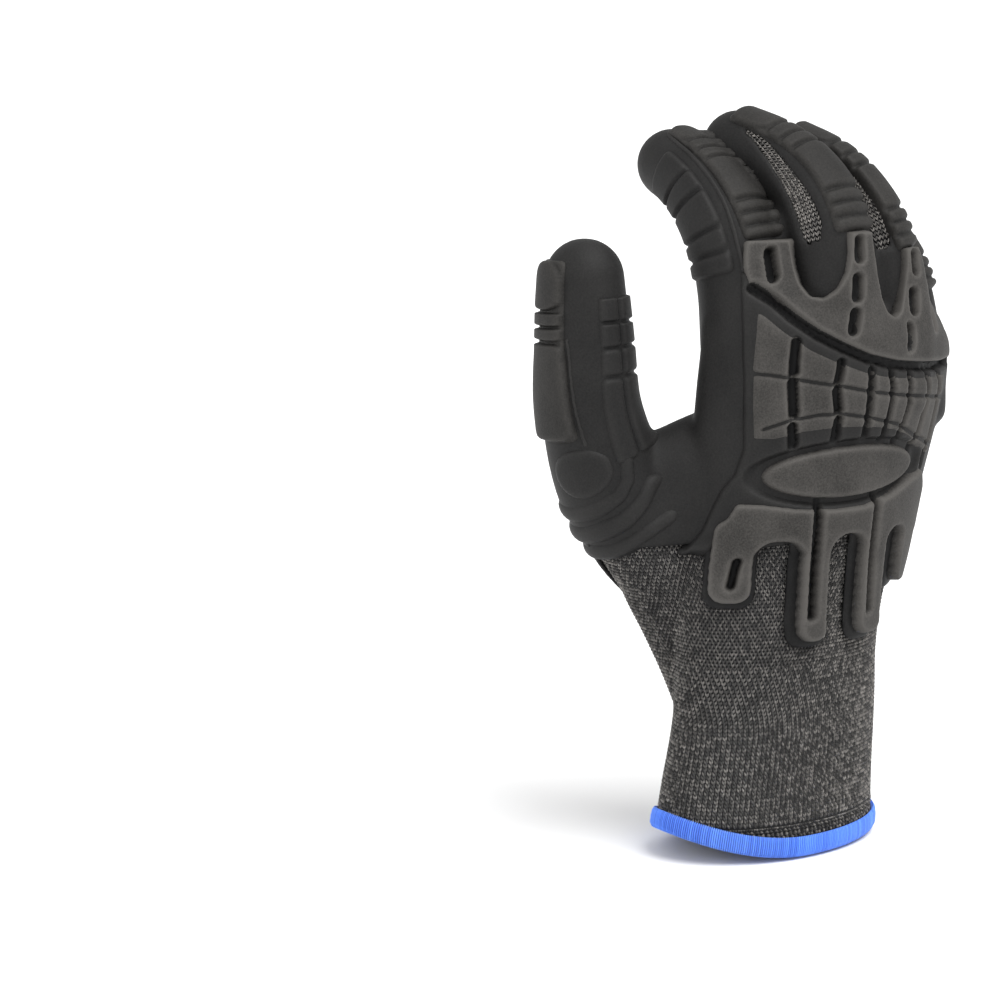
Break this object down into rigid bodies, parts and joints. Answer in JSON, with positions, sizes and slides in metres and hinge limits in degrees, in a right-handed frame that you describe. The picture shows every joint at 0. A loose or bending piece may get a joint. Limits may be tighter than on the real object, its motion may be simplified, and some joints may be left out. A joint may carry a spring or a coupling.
{
  "type": "work glove",
  "caption": "Right-hand work glove with a long knitted cuff, moulded rubber coat, segmented palm grip pads and thick ribbed impact guards on the back.",
  "frame": {"origin": "middle of the cuff's opening, level with the lowest part of its edge", "axes": "+Z from the cuff to the fingertips, -Y the back of the hand, +Y the palm, -X the thumb's side"},
  "size_m": [0.1402, 0.0766, 0.2386],
  "materials": {
    "knit": "black and grey melange rib-free knit, matt",
    "overlock_thread": "blue overlock stitching",
    "coat_rubber": "black foam rubber, satin",
    "guard_rubber": "moulded rubber, fine grain"
  },
  "bodies": {
    "root": {"knit_liner": "knit", "cuff_hem": "overlock_thread", "rubber_coat": "coat_rubber", "wrist_guard": "guard_rubber", "oval_boss": "guard_rubber", "knuckle_guard": "guard_rubber", "thumb_guard": "guard_rubber", "thumb_side_grip": "coat_rubber", "index_side_grip": "coat_rubber", "heel_pad": "guard_rubber", "palm_cross_pad": "guard_rubber", "thenar_outer_pad": "guard_rubber", "thenar_inner_pad": "guard_rubber", "thumb_disc": "guard_rubber", "thumb_ridge_1": "coat_rubber", "thumb_ridge_2": "coat_rubber", "knuckle_rib_1": "guard_rubber", "knuckle_rib_2": "guard_rubber", "knuckle_rib_3": "guard_rubber", "knuckle_rib_4": "guard_rubber", "knuckle_rib_5": "guard_rubber", "knuckle_rib_6": "guard_rubber", "knuckle_rib_7": "guard_rubber", "index_guard": "guard_rubber", "middle_guard": "guard_rubber", "ring_guard": "guard_rubber", "little_guard": "guard_rubber", "palm_edge_pad_1": "guard_rubber", "palm_edge_pad_2": "guard_rubber", "palm_edge_pad_3": "guard_rubber"}
  },
  "joints": []
}
